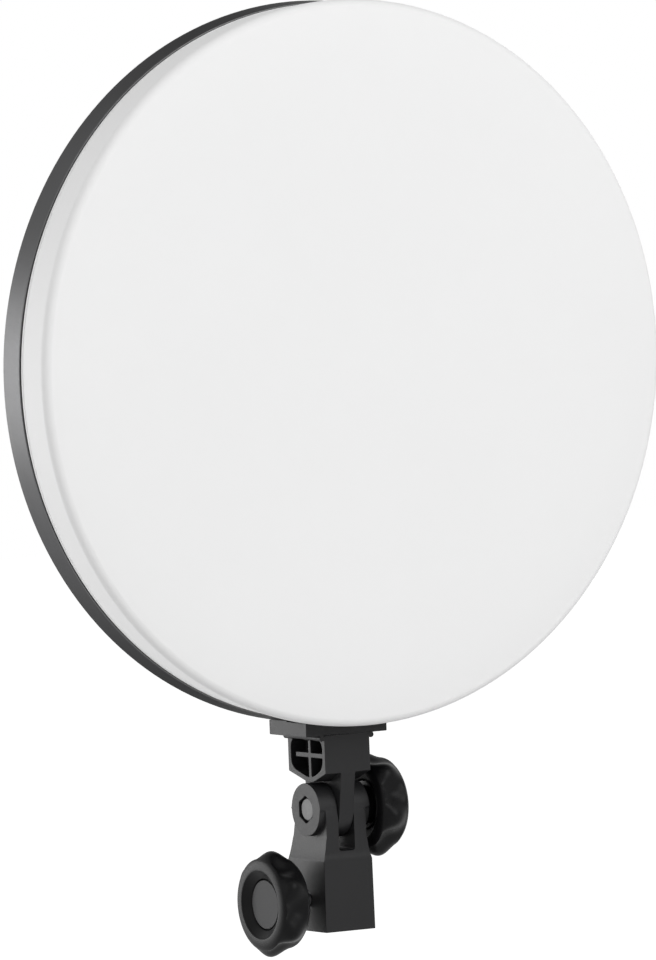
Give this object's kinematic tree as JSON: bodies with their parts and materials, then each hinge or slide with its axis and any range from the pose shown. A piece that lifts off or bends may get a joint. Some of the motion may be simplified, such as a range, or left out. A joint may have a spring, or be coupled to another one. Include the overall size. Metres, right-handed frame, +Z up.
{
  "type": "round led panel light",
  "caption": "Round LED panel light with a domed opal cover in a slim metal rim, on a tilting clevis head with lobed clamp knobs and a socket for a stand spigot.",
  "frame": {"origin": "centre of the mouth of the stand socket, at the bottom of the stand block", "axes": "+Z up the stand's axis, the light faces -Y, +X to the viewer's right when the lit face is looked at"},
  "size_m": [0.312, 0.0706, 0.4123],
  "materials": {
    "opal": "satin opal",
    "rim_metal": "satin black",
    "dark_plastic": "fine moulded grain",
    "black_plastic": "satin",
    "grey_plastic": "satin",
    "board_white": "white solder mask",
    "board_green": "solder mask",
    "white_plastic": "satin",
    "steel": "zinc plated",
    "black_steel": "blackened",
    "brass": "turned",
    "smoked_clear": "gloss",
    "nylon": "natural nylon"
  },
  "bodies": {
    "stand_head": {"stand_block": "dark_plastic", "tilt_bolt": "steel", "clamp_insert": "black_steel"},
    "lamp": {"housing_rim": "rim_metal", "front_diffuser": "opal", "led_board": "board_white", "reflector_ring": "white_plastic", "rear_cover": "dark_plastic", "driver_board": "board_green", "display_window": "smoked_clear", "display_module": "black_plastic", "brightness_encoder": "steel", "colour_encoder": "steel", "power_switch": "black_plastic", "dc_inlet": "black_plastic", "battery_plate": "black_plastic", "battery_contacts": "brass", "cover_screw_1": "black_steel", "cover_screw_2": "black_steel", "cover_screw_3": "black_steel", "cover_screw_4": "black_steel", "cover_screw_5": "black_steel", "cover_screw_6": "black_steel", "board_screw_1": "steel", "board_screw_2": "steel", "board_screw_3": "steel", "board_screw_4": "steel", "board_screw_5": "steel", "board_screw_6": "steel", "mounting_bracket": "dark_plastic", "bracket_screw_left": "black_steel", "bracket_screw_right": "black_steel"},
    "brightness_dial": {"brightness_dial": "grey_plastic"},
    "colour_dial": {"colour_dial": "grey_plastic"},
    "rocker": {"power_rocker": "grey_plastic"},
    "release": {"battery_release": "grey_plastic"},
    "pad": {"pressure_pad": "nylon"},
    "clamp_knob": {"clamp_knob": "black_plastic", "clamp_knob_cap": "grey_plastic", "clamp_screw": "steel"},
    "spacer": {"tilt_spacer": "black_plastic"},
    "tilt_knob": {"tilt_knob": "black_plastic", "tilt_insert": "brass"}
  },
  "joints": [
    {"name": "head_tilt", "type": "hinge", "parent": "stand_head", "child": "lamp", "pos_m": [0, -0.0019, 0.0529], "axis": [1, 0, 0], "range_deg": [-90, 80]},
    {"name": "brightness_turn", "type": "hinge", "parent": "lamp", "child": "brightness_dial", "pos_m": [-0.047, 0.0184, 0.2067], "axis": [0, 1, 0], "continuous": true},
    {"name": "colour_turn", "type": "hinge", "parent": "lamp", "child": "colour_dial", "pos_m": [0.047, 0.0184, 0.2067], "axis": [0, 1, 0], "continuous": true},
    {"name": "power_rock", "type": "hinge", "parent": "lamp", "child": "rocker", "pos_m": [-0.024, 0.0156, 0.1667], "axis": [1, 0, 0], "range_deg": [-16, 0]},
    {"name": "release_push", "type": "slide", "parent": "lamp", "child": "release", "axis": [0, -1, 0], "range_m": [0, 0.0025], "stiffness_N_per_m": 300, "springref_m": -0.002},
    {"name": "pad_slide", "type": "slide", "parent": "stand_head", "child": "pad", "axis": [1, 0, 0], "range_m": [0, 0.004]},
    {"name": "clamp_knob_turn", "type": "hinge", "parent": "pad", "child": "clamp_knob", "pos_m": [-0.029, 0, 0.0133], "axis": [1, 0, 0], "range_deg": [0, 1440]},
    {"name": "spacer_slide", "type": "slide", "parent": "stand_head", "child": "spacer", "axis": [1, 0, 0], "range_m": [0, 0.002]},
    {"name": "tilt_knob_turn", "type": "hinge", "parent": "spacer", "child": "tilt_knob", "pos_m": [0.022, -0.0019, 0.0529], "axis": [1, 0, 0], "range_deg": [0, 720]}
  ],
  "couplings": [
    {"joint": "pad_slide", "follows": "clamp_knob_turn", "m_per_rad": 0.000159},
    {"joint": "spacer_slide", "follows": "tilt_knob_turn", "m_per_rad": 0.000159}
  ]
}
